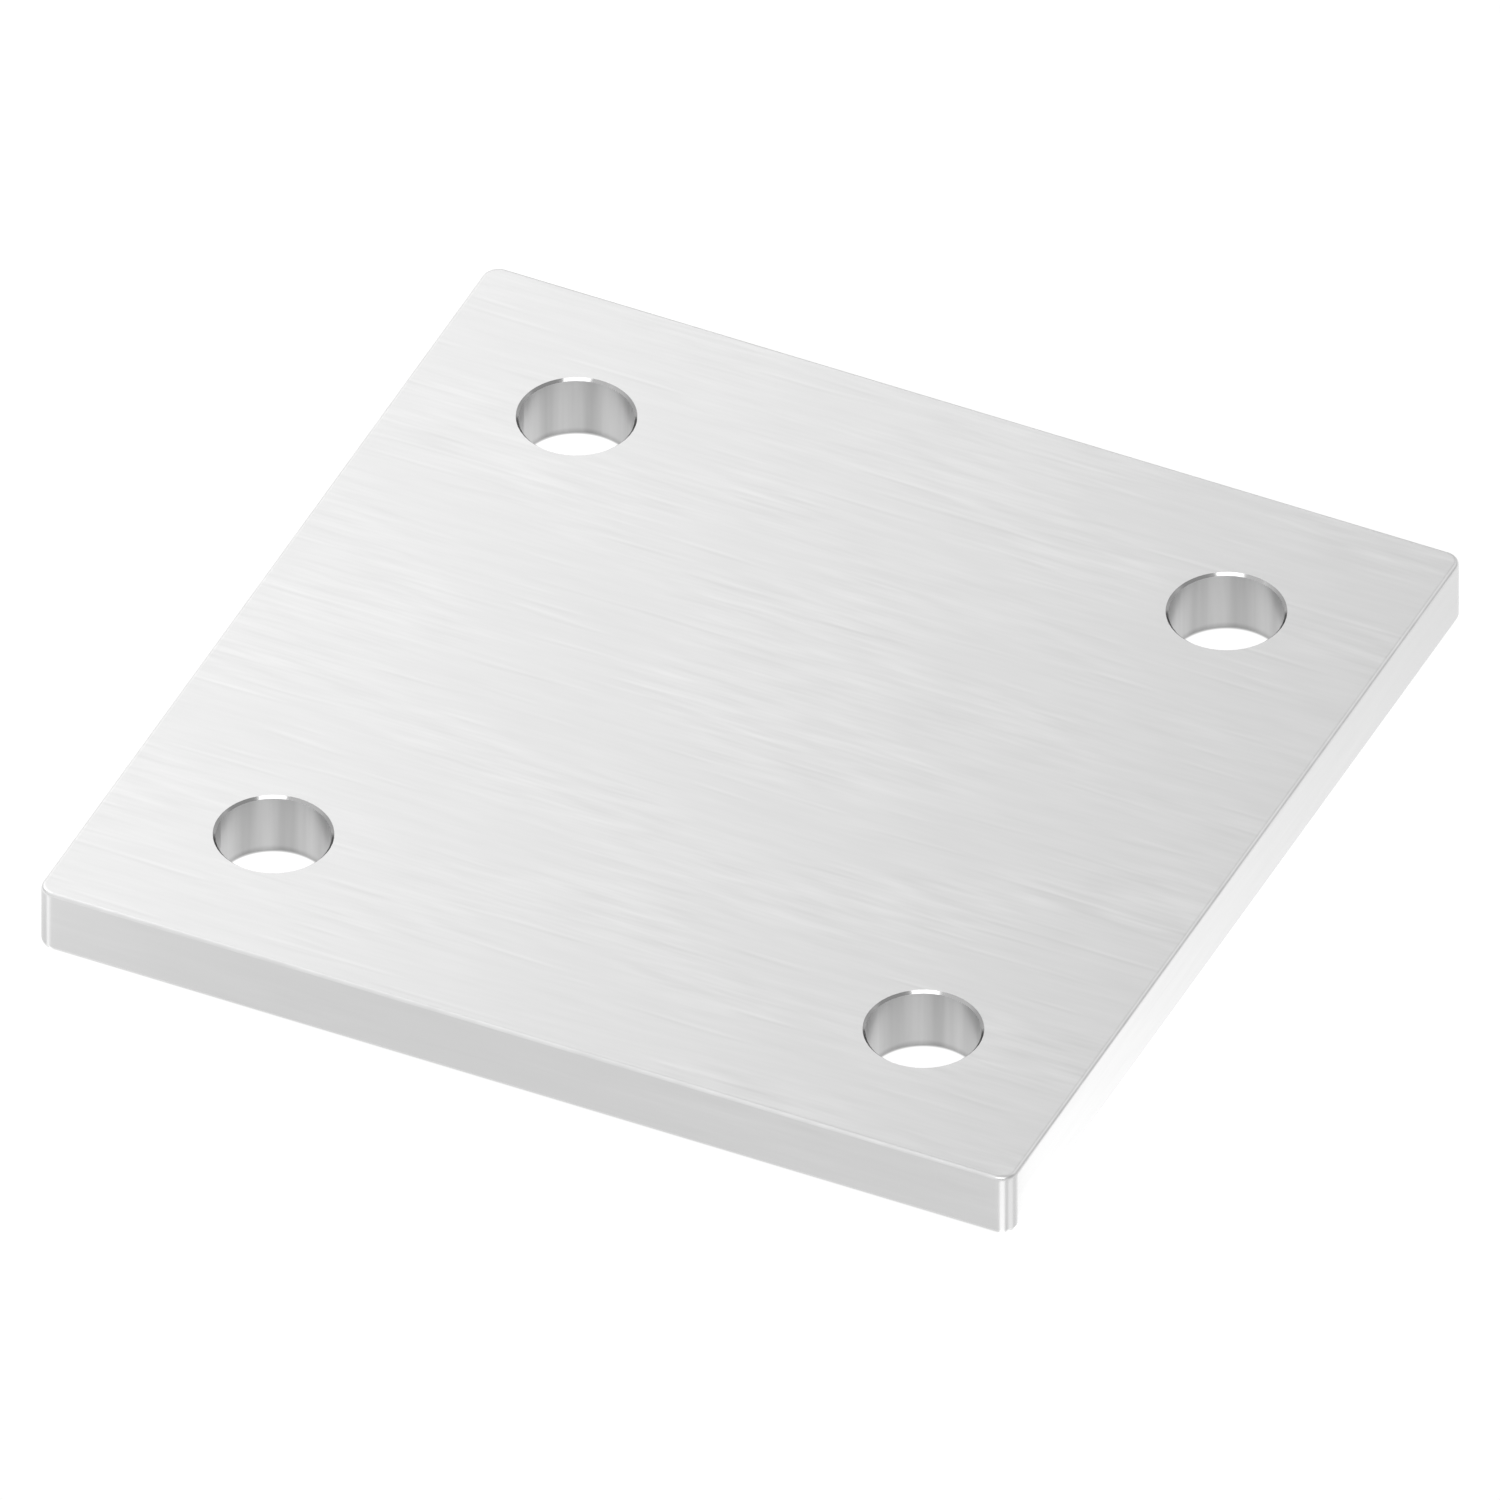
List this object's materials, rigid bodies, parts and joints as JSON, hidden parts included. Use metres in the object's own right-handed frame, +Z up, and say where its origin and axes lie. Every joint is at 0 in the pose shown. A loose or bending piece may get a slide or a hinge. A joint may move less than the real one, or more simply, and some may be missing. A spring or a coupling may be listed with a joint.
{
  "type": "anchor plate",
  "caption": "Flat square steel anchor plate with rounded corners, broken edges and a bolt hole near each corner, for fixing a post or bracket to a base.",
  "frame": {"origin": "centre of the underside, the face that seats on the base", "axes": "+Z up through the thickness, out of the top face; X along the grain of the brushing; Y across it. The plate lies flat on its underside. X and Y are parallel to its sides, and its shape is the same along both"},
  "size_m": [0.12, 0.12, 0.008],
  "materials": {
    "stainless_steel": "satin stainless steel, faces finely brushed along X, bolt holes drilled and deburred, outer edges rounded smooth"
  },
  "bodies": {
    "root": {"anchor_plate": "stainless_steel"}
  },
  "joints": []
}
